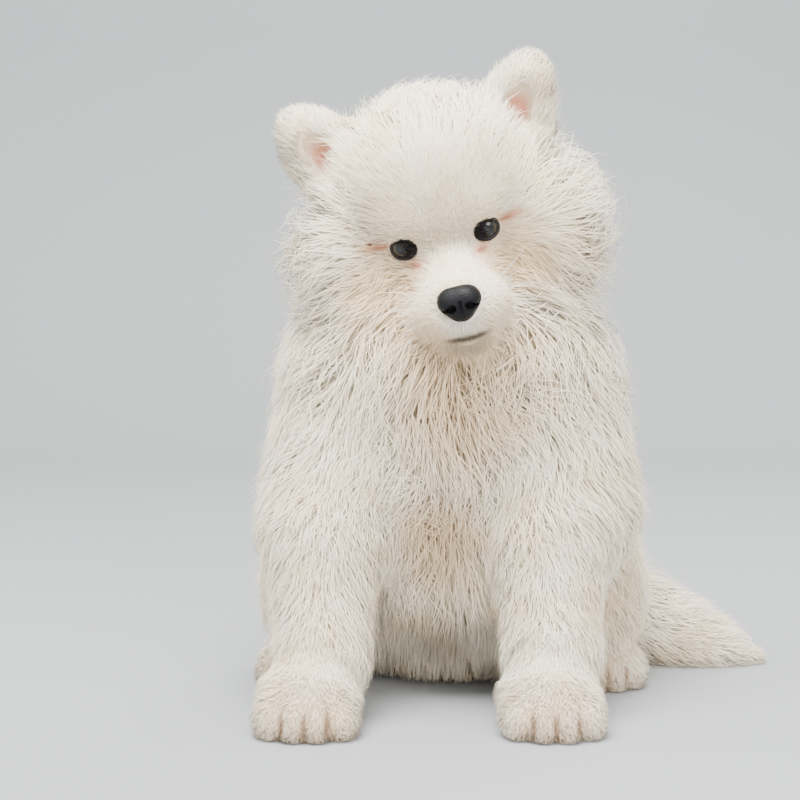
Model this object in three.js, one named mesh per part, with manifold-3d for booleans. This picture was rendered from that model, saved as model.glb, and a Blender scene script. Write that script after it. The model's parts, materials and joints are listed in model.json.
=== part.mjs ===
// A life-size Samoyed puppy of about ten weeks, sitting square to the front with its head
// tipped to one side and its tail laid on the floor. Millimetres, +Z up, the puppy looks
// along -Y, and the floor is z = 0. Its own left side is +X.
//
// The body is a set of balls and limbs that melt into each other. Each has the radius of
// the skin and the depth of the coat over it, so one field gives the skin (share 0), the
// tips of the coat (share 1) and any level between them. Shells are stretched over that
// field, locks are laid along it, all of it is joined, and thin cuts part it into nodes.
import * as THREE from "three";
import { mergeVertices } from "three/addons/utils/BufferGeometryUtils.js";
import Module from "manifold-3d";

const wasm = await Module();
wasm.setup();

// Driving dimensions
const GAP = 0.3; // clearance between neighbouring nodes
const HAIR = 0.02; // corners closer than this are one corner
const CORE_SHARE = 0.45; // how far through the long coat the solid core reaches
const ROOT_SINK = 7; // a lock's root lies this deep in the core
const BODY_X = 14; // the trunk stands this far to the left of the forepaws' middle
const HEAD_AT = [3, -23, 341]; // middle of the brain case
const HEAD_PITCH = 16; // degrees, nose down
const HEAD_ROLL = 13.5; // degrees, left ear up
const HEAD_YAW = 2; // degrees, nose towards the right side
const EYE_SPREAD = 27; // from the middle of the face to an eye's middle
const EYE_RADIUS = 9;
const NOSE_AT = [0, -100, -46]; // in the head's frame, as the next three are
const EAR_ROOT = [53, 4, 24];
const EAR_TIP = [82, -2, 72];
const MOUTH_Z = -70;
const FORELEGS = [
  // name, side, wrist's x, paw's x
  ["foreleg_left", 1, 78, 75],
  ["foreleg_right", -1, -71, -78],
];
const FOREPAW_Y = -90;
const ORIGIN_SHIFT = [-62, -8, 0]; // brings the middle of the whole footprint to x = y = 0

const vec = (x, y, z) => new THREE.Vector3(x, y, z);
const radians = THREE.MathUtils.degToRad;
const smoothstep = THREE.MathUtils.smoothstep;

// A seeded random number from 0 to 1
let seed = 20240;
function random() {
  seed = (seed + 0x6d2b79f5) | 0;
  let t = Math.imul(seed ^ (seed >>> 15), 1 | seed);
  t = (t + Math.imul(t ^ (t >>> 7), 61 | t)) ^ t;
  return ((t ^ (t >>> 14)) >>> 0) / 4294967296;
}
const vary = (value, share) => value * (1 + share * (2 * random() - 1));

// Balls and limbs, and the field that melts them together
const ball = (centre, radii, coat) => ({ centre: vec(...centre), radii, coat });
const limb = (a, ra, b, rb, coatA, coatB = coatA) => ({
  a: vec(...a),
  ra,
  b: vec(...b),
  rb,
  coatA,
  coatB,
});

function distanceTo(shape, p, share, depth) {
  if (shape.centre) {
    const grow = share * shape.coat * depth;
    const q = p.clone().sub(shape.centre);
    const r = shape.radii.map((value) => value + grow);
    const k0 = Math.hypot(q.x / r[0], q.y / r[1], q.z / r[2]);
    const k1 = Math.hypot(q.x / r[0] ** 2, q.y / r[1] ** 2, q.z / r[2] ** 2);
    return k1 < 1e-9 ? -Math.min(...r) : (k0 * (k0 - 1)) / k1;
  }
  const along = shape.b.clone().sub(shape.a);
  const h = THREE.MathUtils.clamp(
    p.clone().sub(shape.a).dot(along) / along.lengthSq(),
    0,
    1,
  );
  const radius = THREE.MathUtils.lerp(shape.ra, shape.rb, h);
  const coat = THREE.MathUtils.lerp(shape.coatA, shape.coatB, h);
  return (
    p.distanceTo(shape.a.clone().addScaledVector(along, h)) -
    radius -
    share * coat * depth
  );
}

function fieldOf(shapes, blend, depthAt = () => 1) {
  return (p, share) => {
    const depth = depthAt(p);
    let d = 1e6;
    for (const shape of shapes) {
      const e = distanceTo(shape, p, share, depth);
      const h = Math.max(blend - Math.abs(d - e), 0) / blend;
      d = Math.min(d, e) - (h * h * blend) / 4;
    }
    return d;
  };
}

function normalAt(field, p, share) {
  const e = 0.5;
  const along = (axis) =>
    field(p.clone().add(axis), share) - field(p.clone().sub(axis), share);
  return vec(
    along(vec(e, 0, 0)),
    along(vec(0, e, 0)),
    along(vec(0, 0, e)),
  ).normalize();
}

// How far a ray from inside goes before it leaves the field
function reach(field, from, direction, share) {
  const step = 3;
  const far = 200;
  const at = (r) => from.clone().addScaledVector(direction, r);
  let low = 0;
  let high = step;
  while (high < far && field(at(high), share) < 0) {
    low = high;
    high += step;
  }
  for (let i = 0; i < 16; i++) {
    const middle = (low + high) / 2;
    if (field(at(middle), share) < 0) low = middle;
    else high = middle;
  }
  return at(high);
}

// A point on a shell: t runs along the axis, tilt fans the rays at its ends, angle goes round
function shellPoint(body, t, tilt, angle, share) {
  const along = body.axis.getTangentAt(t);
  const side = vec(...body.up).cross(along).normalize();
  const up = along.clone().cross(side);
  const out = side
    .multiplyScalar(Math.cos(angle))
    .addScaledVector(up, Math.sin(angle));
  const direction = out
    .multiplyScalar(Math.cos(tilt))
    .addScaledVector(along, Math.sin(tilt));
  return reach(body.field, body.axis.getPointAt(t), direction, share);
}

// The stations of a shell, each a place on the axis and a tilt in degrees: a fan of rays at
// the start, rings along the axis and a fan at the end
function stationsOf(fanStart, rings, fanEnd) {
  const list = [];
  for (let i = 1; i < fanStart; i++) list.push([0, -90 * (1 - i / fanStart)]);
  for (let i = 0; i <= rings; i++) list.push([i / rings, 0]);
  for (let i = 1; i < fanEnd; i++) list.push([1, (90 * i) / fanEnd]);
  return list;
}

function shell(body, share) {
  const { stations } = body;
  const sides = body.sides;
  const points = [shellPoint(body, 0, -Math.PI / 2, 0, share)];
  for (const [t, tilt] of stations)
    for (let j = 0; j < sides; j++)
      points.push(shellPoint(body, t, radians(tilt), (2 * Math.PI * j) / sides, share));
  points.push(shellPoint(body, 1, Math.PI / 2, 0, share));
  const faces = [];
  const last = points.length - 1;
  const ring = (i, j) => 1 + i * sides + (j % sides);
  for (let j = 0; j < sides; j++) {
    faces.push(0, ring(0, j + 1), ring(0, j));
    for (let i = 0; i + 1 < stations.length; i++) {
      faces.push(ring(i, j), ring(i, j + 1), ring(i + 1, j + 1));
      faces.push(ring(i, j), ring(i + 1, j + 1), ring(i + 1, j));
    }
    const end = stations.length - 1;
    faces.push(last, ring(end, j), ring(end, j + 1));
  }
  return geometryOf(points, faces);
}

function geometryOf(points, faces) {
  const geometry = new THREE.BufferGeometry();
  geometry.setAttribute(
    "position",
    new THREE.Float32BufferAttribute(points.flatMap((p) => p.toArray()), 3),
  );
  geometry.setIndex(faces);
  return geometry;
}

// Geometry to solid and back
function solid(geometry, matrix = new THREE.Matrix4()) {
  const bare = new THREE.BufferGeometry();
  bare.setAttribute("position", geometry.getAttribute("position").clone());
  if (geometry.index) bare.setIndex(geometry.index);
  bare.applyMatrix4(matrix);
  const merged = mergeVertices(bare, 1e-4);
  const build = (triVerts) =>
    new wasm.Manifold(
      new wasm.Mesh({
        numProp: 3,
        vertProperties: merged.attributes.position.array,
        triVerts,
      }),
    );
  const triVerts = new Uint32Array(merged.index.array);
  const made = build(triVerts);
  return made.volume() > 0 ? made : build(triVerts.map((_, i) => triVerts[i - (i % 3) + [0, 2, 1][i % 3]]));
}

function joined(solids) {
  let list = [...solids];
  while (list.length > 1) {
    const next = [];
    for (let i = 0; i < list.length; i += 2)
      next.push(i + 1 < list.length ? list[i].add(list[i + 1]) : list[i]);
    list = next;
  }
  return list[0];
}

function largest(made) {
  return made
    .decompose()
    .reduce((best, piece) => (piece.volume() > best.volume() ? piece : best));
}

// Draws corners that lie a hair apart together, and drops the faces that this flattens
function knit(corners, triangles) {
  let faces = triangles;
  for (;;) {
    const near = corners.map(() => new Set());
    for (const [a, b, c] of faces) {
      near[a].add(b).add(c);
      near[b].add(c).add(a);
      near[c].add(a).add(b);
    }
    const busy = new Set();
    const merged = new Map();
    for (const [a, b, c] of faces) {
      for (const [u, v] of [[a, b], [b, c], [c, a]]) {
        if (u > v || corners[u].distanceTo(corners[v]) > HAIR || busy.has(u) || busy.has(v)) continue;
        const shared = [...near[u]].filter((w) => near[v].has(w));
        if (shared.length !== 2) continue;
        merged.set(v, u);
        for (const w of [...near[u], ...near[v]]) busy.add(w);
      }
    }
    if (!merged.size) return faces;
    faces = faces
      .map((face) => face.map((v) => merged.get(v) ?? v))
      .filter(([a, b, c]) => a !== b && b !== c && c !== a);
  }
}

// Draws corners that share a place towards their own neighbours, so that two folds which
// only touch stay apart
function unpinch(corners, faces) {
  const near = new Map();
  for (const face of faces) {
    for (const v of face) near.set(v, [...(near.get(v) ?? []), ...face.filter((w) => w !== v)]);
  }
  const places = new Map();
  for (const v of near.keys()) {
    const key = corners[v].toArray().map((value) => Math.round(value * 500)).join();
    places.set(key, [...(places.get(key) ?? []), v]);
  }
  for (const shared of [...places.values()].filter((list) => list.length > 1)) {
    for (const v of shared) {
      const middle = vec(0, 0, 0);
      for (const w of near.get(v)) middle.addScaledVector(corners[w], 1 / near.get(v).length);
      corners[v].addScaledVector(middle.sub(corners[v]).normalize(), 2 * HAIR);
    }
  }
}

function geometryFrom(made) {
  const mesh = made.getMesh();
  const corners = Array.from({ length: mesh.numVert }, (_, i) =>
    new THREE.Vector3().fromArray(mesh.vertProperties, i * mesh.numProp),
  );
  const triangles = Array.from({ length: mesh.numTri }, (_, i) => [
    ...mesh.triVerts.subarray(3 * i, 3 * i + 3),
  ]);
  const faces = knit(corners, triangles);
  unpinch(corners, faces);
  const geometry = geometryOf(corners, faces.flat());
  geometry.computeVertexNormals();
  return geometry;
}

// A curved tube of a few sides, closed at both ends
function tube(points, radius, steps, sides = 6) {
  const section = new THREE.Shape();
  for (let i = 0; i < sides; i++) {
    const angle = (2 * Math.PI * i) / sides;
    const corner = [radius * Math.cos(angle), radius * Math.sin(angle)];
    if (i) section.lineTo(...corner);
    else section.moveTo(...corner);
  }
  section.closePath();
  const path = new THREE.CatmullRomCurve3(points.map((p) => vec(...p)));
  return new THREE.ExtrudeGeometry(section, {
    steps,
    bevelEnabled: false,
    extrudePath: path,
  });
}

const ellipsoid = (centre, radii, wide = 12, high = 8) =>
  new THREE.SphereGeometry(1, wide, high)
    .scale(...radii)
    .translate(...centre);

const line = (...points) =>
  new THREE.CatmullRomCurve3(points.map((p) => vec(...p)));

// The head's frame: its own -Y runs to the nose and +Z to the crown
const headFrame = new THREE.Matrix4()
  .makeTranslation(...HEAD_AT)
  .multiply(new THREE.Matrix4().makeRotationZ(radians(-HEAD_YAW)))
  .multiply(new THREE.Matrix4().makeRotationY(radians(-HEAD_ROLL)))
  .multiply(new THREE.Matrix4().makeRotationX(radians(HEAD_PITCH)));
const worldFrame = new THREE.Matrix4();

// The coat is short round the eyes and the muzzle, and grows longer to the crown and the ruff
const headDepth = (p) =>
  0.12 + 0.88 * smoothstep(Math.hypot(p.x, p.z + 40) + 0.5 * (p.y + 50), 36, 105);

// The rings of a lock: place along it, half width, thickness, and share of the coat under it
const LONG_LOCK = [
  [0, 0.36, 8, 0.45],
  [0.42, 0.52, 8, 0.82],
  [0.76, 0.34, 6, 0.97],
];
const SHORT_LOCK = [
  [0, 0.4, 8, 0.45],
  [0.55, 0.5, 8, 0.88],
];

const bodies = {};

bodies.trunk = {
  frame: worldFrame,
  field: fieldOf(
    [
      ball([BODY_X, -6, 180], [60, 46, 72], 34),
      limb([BODY_X, 6, 190], 54, [BODY_X + 2, 62, 94], 58, 28),
      ball([BODY_X + 2, 14, 105], [56, 48, 62], 26),
      ball([17, 70, 58], [68, 50, 52], 26),
      limb([72, 4, 204], 38, [90, -12, 130], 32, 27),
      limb([-44, 4, 204], 38, [-64, -12, 130], 30, 26),
      ball([BODY_X + 1, 6, 232], [74, 48, 52], 44),
      limb([BODY_X, 8, 240], 54, [8, 12, 282], 46, 34, 24),
    ],
    24,
  ),
  axis: line(
    [BODY_X, 55, 66],
    [BODY_X, 34, 110],
    [BODY_X, 10, 160],
    [BODY_X, 5, 215],
    [10, 8, 260],
  ),
  up: [0, -1, 0],
  stations: stationsOf(4, 10, 3),
  sides: 20,
  locks: {
    lie: (p) => vec((0.1 * (p.x - BODY_X)) / 60, 0.1, -1),
    rows: [[0, 0], [0.22, 0], [0.42, 0], [0.62, 0], [0.82, 0], [1, 5]],
    width: 66,
    length: 76,
  },
};

const cheek = (side) => ball([side * 45, 4, -38], [34, 40, 38], 42);
const brow = (side) => ball([side * 19, -40, -3], [17, 14, 12], 10);
const whiskerPad = (side) => ball([side * 13, -78, -58], [16, 18, 13], 3);
bodies.head = {
  frame: headFrame,
  field: fieldOf(
    [
      ball([0, 2, 0], [52, 54, 50], 26),
      ball([0, -26, 2], [42, 30, 34], 16),
      cheek(1),
      cheek(-1),
      brow(1),
      brow(-1),
      limb([0, -40, -46], 27, [0, -80, -53], 20, 3),
      whiskerPad(1),
      whiskerPad(-1),
      limb([0, -42, -62], 19, [0, -80, -70], 10, 4, 2),
    ],
    12,
    headDepth,
  ),
  axis: line([0, 8, -10], [0, -22, -22], [0, -50, -46], [0, -76, -56]),
  up: [0, 0, 1],
  stations: [
    ...[-68, -45, -22, 0, 14, 27, 38, 47].map((tilt) => [0, tilt]),
    ...[[0.12, 50], [0.25, 50], [0.38, 46], [0.5, 38], [0.62, 28], [0.74, 18], [0.86, 8]],
    ...[2, 22, 44, 67].map((tilt) => [1, tilt]),
  ],
  sides: 24,
  locks: {
    lie: (p) => vec(1.5 * p.x, 0.6 * (p.y + 110), 1.6 * (p.z + 30) - 25),
    rows: [[0, -48], [0, -8], [0, 26]],
    width: 56,
    length: 58,
    keep: (p) => headDepth(p) > 0.4,
  },
};

for (const [name, side, x, pawX] of FORELEGS) {
  const y = FOREPAW_Y;
  bodies[name] = {
    frame: worldFrame,
    field: fieldOf(
      [
        limb([side * 62 + 8, -14, 160], 30, [x, -40, 112], 26, 20, 17),
        limb([x, -40, 114], 25, [x, y + 16, 40], 18, 17, 15),
        limb([x, y + 16, 40], 18, [pawX, y + 2, 24], 18, 13, 7),
      ],
      14,
    ),
    axis: line([side * 66 + 4, -22, 150], [x, -44, 104], [x, y + 14, 40], [pawX, y + 4, 24]),
    up: [0, -1, 0],
    stations: stationsOf(2, 7, 2),
    sides: 14,
    locks: {
      lie: () => vec(0, 0, -1),
      rings: SHORT_LOCK,
      rows: [[0.1, 0], [0.42, 0], [0.72, 0]],
      width: 48,
      length: 60,
    },
  };
  bodies[name + "_paw"] = paw(pawX, y, side * 2, 27, 32, 18);
}

for (const [name, side, thighX, pawX] of [
  ["hindleg_left", 1, 104, 118],
  ["hindleg_right", -1, -68, -86],
]) {
  bodies[name] = {
    frame: worldFrame,
    field: fieldOf([ball([thighX, 50, 66], [36, 56, 54], 20)], 14),
    axis: line([thighX, 66, 60], [thighX, 30, 68]),
    up: [0, 0, 1],
    stations: stationsOf(3, 3, 3),
    sides: 14,
    locks: {
      lie: () => vec(0, 0.25, -1),
      rings: SHORT_LOCK,
      rows: [[0, -45], [0.1, 0], [0.9, 0], [1, 35]],
      width: 58,
      length: 64,
    },
  };
  bodies[name + "_paw"] = paw(pawX, 34, side * 8, 25, 30, 17);
  bodies[name + "_hock"] = {
    frame: worldFrame,
    field: fieldOf([limb([pawX - side * 4, 94, 19], 14, [pawX, 44, 17], 14, 8)], 8),
    axis: line([pawX - side * 4, 94, 19], [pawX, 44, 17]),
    up: [0, 0, 1],
    stations: stationsOf(2, 2, 2),
    sides: 10,
  };
}

// A paw: a flat pad with four toes in an arc, turned out by some degrees
function paw(x, y, turn, halfWidth, halfLength, halfHeight) {
  const toes = [-1.5, -0.5, 0.5, 1.5].map((place) => {
    const across = place * halfWidth * 0.5;
    const forward = halfLength * (Math.abs(place) < 1 ? 0.78 : 0.6);
    return ball([across, -forward, 12], [8.5, 11, 11.5], 4);
  });
  return {
    toes,
    frame: new THREE.Matrix4()
      .makeTranslation(x, y, 0)
      .multiply(new THREE.Matrix4().makeRotationZ(radians(turn))),
    field: fieldOf(
      [ball([0, 0, halfHeight + 1], [halfWidth, halfLength, halfHeight], 5), ...toes],
      5,
    ),
    axis: line([0, halfLength * 0.35, halfHeight], [0, -halfLength * 0.35, halfHeight - 2]),
    up: [0, 0, 1],
    stations: stationsOf(2, 2, 4),
    sides: 16,
  };
}

bodies.tail = {
  frame: worldFrame,
  field: fieldOf(
    [
      limb([46, 112, 46], 18, [100, 112, 44], 16, 27, 29),
      limb([100, 112, 44], 16, [150, 102, 34], 12, 29, 26),
      limb([150, 102, 33], 12, [190, 94, 20], 9, 26, 18),
      limb([190, 94, 20], 9, [218, 90, 11], 6, 18, 10),
      limb([218, 90, 11], 6, [242, 88, 5], 1, 10, 4),
    ],
    10,
  ),
  axis: line([50, 112, 46], [100, 112, 40], [150, 102, 33], [190, 94, 20], [218, 90, 11], [238, 88, 6]),
  up: [0, 0, 1],
  stations: stationsOf(2, 8, 2),
  sides: 12,
  locks: {
    lie: () => vec(1, -0.05, -0.1),
    rings: SHORT_LOCK,
    rows: [[0.2, 0], [0.38, 0], [0.55, 0], [0.72, 0]],
    width: 42,
    length: 64,
  },
};

// Ears: rounded triangles with a cup in front
const earFrames = {};
for (const [name, side] of [["ear_left", 1], ["ear_right", -1]]) {
  const root = vec(side * EAR_ROOT[0], EAR_ROOT[1], EAR_ROOT[2]);
  const along = vec(side * EAR_TIP[0], EAR_TIP[1], EAR_TIP[2]).sub(root);
  const up = along.clone().normalize();
  const across = up.clone().cross(vec(-side * 0.15, -1, 0)).normalize();
  const front = across.clone().cross(up);
  const frame = new THREE.Matrix4().makeBasis(across, front, up).setPosition(root);
  earFrames[name] = headFrame.clone().multiply(frame);
  bodies[name] = {
    frame: earFrames[name],
    field: fieldOf(
      [
        ball([0, 0, 10], [25, 13, 20], 5),
        ball([0, 0, 26], [20, 10, 20], 5),
        ball([0, 0, 42], [12, 7, 11], 4),
      ],
      10,
    ),
    axis: line([0, 0, 6], [0, 0, 44]),
    up: [0, 1, 0],
    stations: stationsOf(2, 5, 4),
    sides: 14,
  };
}

// Where the coat is short the core is the whole of it, and elsewhere locks complete it
const coreShare = (body) => (body.locks ? CORE_SHARE : 1);
const cores = Object.values(bodies).map((body) => solid(shell(body, coreShare(body)), body.frame));

// Brings a point onto the level of the coat that a share names
function settle(field, p, share) {
  for (let i = 0; i < 3; i++) p.addScaledVector(normalAt(field, p, share), -field(p, share));
  return p;
}

// A flat, tapered lock that starts in the core, follows the lie and ends at the coat's tips
function lock(body, root, width, length) {
  const { field, locks } = body;
  const { rings = LONG_LOCK } = locks;
  const at = root.clone();
  const points = [];
  let reached = 0;
  const lieAt = (normal) => {
    const lie = locks.lie(at);
    return lie.addScaledVector(normal, -lie.dot(normal)).normalize();
  };
  for (const [place, half, thick, share] of rings) {
    const before = normalAt(field, at, share);
    at.addScaledVector(lieAt(before), (place - reached) * length);
    reached = place;
    settle(field, at, share);
    const normal = normalAt(field, at, share);
    const side = normal.clone().cross(lieAt(normal));
    const top = at.clone();
    if (place === 0) top.addScaledVector(normal, -ROOT_SINK);
    const edges = [1, -1].map((sign) =>
      settle(field, at.clone().addScaledVector(side, sign * half * width), share),
    );
    const middle = edges[0].clone().lerp(edges[1], 0.5);
    const drop = thick - Math.min(0, top.clone().sub(middle).dot(normal));
    for (const edge of edges) edge.addScaledVector(normal, -drop);
    points.push(top, ...edges);
  }
  at.addScaledVector(lieAt(normalAt(field, at, 1)), (1 - reached) * length);
  points.push(settle(field, at, 1));
  const corners = 3;
  const tip = points.length - 1;
  if (folded(points, corners)) return null;
  const faces = [0, 1, 2];
  for (let ring = 0; ring < rings.length; ring++) {
    for (let i = 0; i < corners; i++) {
      const a = ring * corners + i;
      const b = ring * corners + ((i + 1) % corners);
      if (ring + 1 < rings.length) faces.push(a, a + corners, b, b, a + corners, b + corners);
      else faces.push(a, tip, b);
    }
  }
  return solid(geometryOf(points, faces), body.frame);
}

// Whether a lock's rings turn over or run back, as where the lie bends too sharply for it
function folded(points, corners) {
  const along = points.at(-1).clone().sub(points[0]);
  for (let i = 0; i + 1 < points.length; i++) {
    const next = Math.min(i + corners, points.length - 1);
    if (points[next].clone().sub(points[i]).dot(along) < 0.15 * along.lengthSq() * 0.5) return true;
  }
  for (let i = 0; i + 2 * corners < points.length; i += corners) {
    const width = points[i + 1].clone().sub(points[i + 2]);
    const next = points[i + corners + 1].clone().sub(points[i + corners + 2]);
    if (width.normalize().dot(next.normalize()) < 0.8) return true;
  }
  return false;
}

// Whether a point of one body is deep inside another, where no lock can grow
function buried(world, self) {
  return Object.values(bodies).some((body) => {
    if (body === self) return false;
    const p = world.clone().applyMatrix4(body.frame.clone().invert());
    return body.field(p, coreShare(body)) < 0;
  });
}

// Rows of locks round a body, each row set half a step past the one before
function lay(body) {
  const { rows, width, length, keep = () => true } = body.locks;
  const made = [];
  rows.forEach(([t, degrees], row) => {
    const tilt = radians(degrees);
    const samples = 12;
    const rim = Array.from({ length: samples }, (_, i) =>
      shellPoint(body, t, tilt, (2 * Math.PI * i) / samples, CORE_SHARE),
    );
    const girth = rim.reduce((sum, p, i) => sum + p.distanceTo(rim[(i + 1) % samples]), 0);
    const count = Math.max(1, Math.round(girth / width));
    for (let i = 0; i < count; i++) {
      const angle = (2 * Math.PI * (i + (row % 2) / 2 + 0.2 * (random() - 0.5))) / count;
      const root = shellPoint(body, t, tilt, angle, CORE_SHARE);
      if (!keep(root)) continue;
      const middle = root.clone().addScaledVector(body.locks.lie(root).normalize(), length / 2);
      const world = settle(body.field, middle, 0.9).applyMatrix4(body.frame);
      if (world.z < 0 || buried(world, body)) continue;
      made.push(lock(body, root, vary(width, 0.12), vary(length, 0.15)));
    }
  });
  return made.filter(Boolean);
}

const locks = Object.values(bodies).filter((body) => body.locks).flatMap(lay);

const BIG = 900;
const boxSolid = (frame, size, grow) =>
  solid(
    new THREE.BoxGeometry(...size.map((value) => value + 2 * grow)),
    frame,
  );

// Everything on the far side of a plane
function beyond(point, normal, grow) {
  const turn = new THREE.Quaternion().setFromUnitVectors(
    vec(0, 0, 1),
    vec(...normal).normalize(),
  );
  const centre = vec(...point).addScaledVector(vec(...normal).normalize(), BIG / 2 - grow);
  const frame = new THREE.Matrix4().compose(centre, turn, vec(1, 1, 1));
  return solid(new THREE.BoxGeometry(BIG, BIG, BIG), frame);
}

// The eyes and the nose leather
const eyeAt = (side) => [side * EYE_SPREAD, -41, -18];
const eyeBall = (side, grow) =>
  solid(
    new THREE.SphereGeometry(EYE_RADIUS + grow, 14, 9).rotateX(Math.PI / 2).translate(...eyeAt(side)),
    headFrame,
  );
const noseShape = (grow) =>
  joined([
    solid(
      ellipsoid([0, NOSE_AT[1], NOSE_AT[2] + 2], [13 + grow, 9 + grow, 9 + grow], 12, 7),
      headFrame,
    ),
    solid(
      ellipsoid([0, NOSE_AT[1] + 1, NOSE_AT[2] - 4], [9 + grow, 9 + grow, 8 + grow], 10, 6),
      headFrame,
    ),
  ]);
const nostrils = joined(
  [1, -1].map((side) =>
    solid(
      ellipsoid([side * 6.5, NOSE_AT[1] - 8, NOSE_AT[2]], [3.2, 4, 2.6], 6, 4),
      headFrame,
    ),
  ),
);

// Lids, lips and the line of the mouth
const lids = [1, -1].map((side) =>
  solid(
    new THREE.TorusGeometry(7.6, 2.1, 4, 12)
      .scale(1.05, 0.86, 1)
      .rotateX(Math.PI / 2)
      .rotateZ(radians(side * 14))
      .translate(side * (EYE_SPREAD + 0.8), -46.5, -18),
    headFrame,
  ),
);
const mouthPoints = [-26, -18, -9, 0, 9, 18, 26].map((x) => {
  const share = Math.abs(x) / 26;
  return [x, -97 + 27 * share ** 1.7, MOUTH_Z + 3 * share ** 2 - (x ? 0 : 1)];
});
const mouthLine = solid(tube(mouthPoints, 1.7, 10, 5), headFrame);
const lowerLip = solid(
  tube(mouthPoints.map(([x, y, z]) => [x * 0.94, y + 1.5, z - 3.4]), 2.6, 10, 5),
  headFrame,
);
const philtrum = solid(
  tube([[0, NOSE_AT[1] - 4, NOSE_AT[2] - 10], [0, -99, -62], [0, -98, MOUTH_Z]], 1.2, 3, 5),
  headFrame,
);

// Claws, one from the front of each toe
const CLAW_LENGTH = 8;
const claws = Object.keys(bodies)
  .filter((name) => name.endsWith("_paw"))
  .flatMap((name) =>
    bodies[name].toes.map(({ centre, radii }) => {
      const claw = new THREE.ConeGeometry(2.3, CLAW_LENGTH, 4)
        .rotateX(radians(115))
        .translate(centre.x, centre.y - radii[1] - 4.5, centre.z - 2);
      return solid(claw, bodies[name].frame);
    }),
  );

const floor = solid(new THREE.BoxGeometry(BIG, BIG, BIG).translate(0, 0, -BIG / 2));
const earCups = Object.values(earFrames).map((frame) =>
  solid(ellipsoid([0, 15, 24], [13, 13, 21], 10, 8), frame),
);

const eyeOpenings = [1, -1].map((side) =>
  solid(ellipsoid([side * EYE_SPREAD, -53, -18], [8.4, 10, 6.8], 10, 6), headFrame),
);
const eyes = [eyeBall(1, 0), eyeBall(-1, 0)];
const whole = joined([...cores, ...locks])
  .subtract(joined(eyeOpenings))
  .add(joined([...lids, lowerLip, ...claws]))
  .subtract(mouthLine)
  .subtract(philtrum)
  .subtract(joined(earCups))
  .subtract(floor);

// The cuts: each claims a part of space, and what is named first has the first claim
const earCut = (name) => (grow) =>
  boxSolid(
    earFrames[name].clone().multiply(new THREE.Matrix4().makeTranslation(0, 0, 62)),
    [78, 64, 88],
    grow,
  );
const block = (low, high) => (grow) =>
  boxSolid(
    new THREE.Matrix4().makeTranslation(...low.map((value, i) => (value + high[i]) / 2)),
    low.map((value, i) => high[i] - value),
    grow,
  );
const claims = [
  ["nose", (grow) => noseShape(grow)],
  ["eye_left", (grow) => eyeBall(1, grow)],
  ["eye_right", (grow) => eyeBall(-1, grow)],
  ["ear_left", earCut("ear_left")],
  ["ear_right", earCut("ear_right")],
  ["head", (grow) => beyond([0, -85, 226], [-0.12, -0.53, 0.84], grow)],
  ["neck", (grow) => beyond([BODY_X, -100, 168], [0, -0.445, 0.895], grow)],
  ["foreleg_left", block([44, -160, -20], [150, -8, 152])],
  ["foreleg_right", block([-150, -160, -20], [-38, -8, 150])],
  ["hindleg_left", block([58, -60, -20], [158, 88, 128])],
  ["hindleg_right", block([-170, -60, -20], [-34, 140, 128])],
  ["tail", block([62, 50, -20], [300, 180, 110])],
];

const finish = {
  coat: { color: 0xf1ebdf, roughness: 0.9, metalness: 0 },
  ear: { color: 0xefdcd3, roughness: 0.9, metalness: 0 },
  eye: { color: 0x0c0b0c, roughness: 0.08, metalness: 0 },
  nose: { color: 0x17161a, roughness: 0.42, metalness: 0 },
};
const slotOf = (name) =>
  name.startsWith("eye") ? "eye" : name === "nose" ? "nose" : name.startsWith("ear") ? "ear" : "coat";

const group = new THREE.Group();
function place(name, made) {
  const mesh = new THREE.Mesh(
    geometryFrom(largest(made)),
    new THREE.MeshStandardMaterial(finish[slotOf(name)]),
  );
  mesh.name = name;
  group.add(mesh);
}

let rest = whole;
for (const [name, cut] of claims) {
  if (name === "nose") place(name, noseShape(0).subtract(nostrils));
  else if (name === "eye_left") place(name, eyes[0]);
  else if (name === "eye_right") place(name, eyes[1]);
  else place(name, rest.intersect(cut(0)));
  rest = rest.subtract(cut(GAP));
}
place("torso", rest);
group.position.set(...ORIGIN_SHIFT);

export default group;
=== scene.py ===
# %% [markdown]
# # A sitting Samoyed puppy
# This lesson dresses a life-size model of a fluffy white puppy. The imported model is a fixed
# frame: it gives the outline out to the tips of the coat. Everything made here stays inside it.
# All shapes are worked out in millimetres in the puppy's own frame, where it looks along -Y and
# its left side is +X, and are turned into metres only when a mesh is written.

# %% The frame
import json
from math import cos, pi, radians, sin

import bpy
import numpy as np
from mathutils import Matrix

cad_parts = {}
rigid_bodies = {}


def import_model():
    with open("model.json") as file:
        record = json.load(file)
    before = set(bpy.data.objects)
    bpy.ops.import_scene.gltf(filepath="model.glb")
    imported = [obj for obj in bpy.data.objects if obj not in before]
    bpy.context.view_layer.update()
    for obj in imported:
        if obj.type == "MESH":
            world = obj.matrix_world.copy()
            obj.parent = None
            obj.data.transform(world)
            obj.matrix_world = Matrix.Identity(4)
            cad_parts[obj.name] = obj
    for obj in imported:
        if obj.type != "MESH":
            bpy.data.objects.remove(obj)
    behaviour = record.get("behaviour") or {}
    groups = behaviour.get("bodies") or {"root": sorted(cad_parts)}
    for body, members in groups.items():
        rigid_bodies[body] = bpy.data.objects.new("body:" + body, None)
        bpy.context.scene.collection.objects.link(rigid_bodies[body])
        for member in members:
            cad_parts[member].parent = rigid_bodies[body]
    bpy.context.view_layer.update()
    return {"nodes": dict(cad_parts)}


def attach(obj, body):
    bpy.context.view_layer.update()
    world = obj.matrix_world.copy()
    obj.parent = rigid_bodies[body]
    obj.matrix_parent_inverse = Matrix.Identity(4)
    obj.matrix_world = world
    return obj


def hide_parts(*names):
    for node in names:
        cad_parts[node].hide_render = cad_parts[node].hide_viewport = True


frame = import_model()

import openvdb
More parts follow.
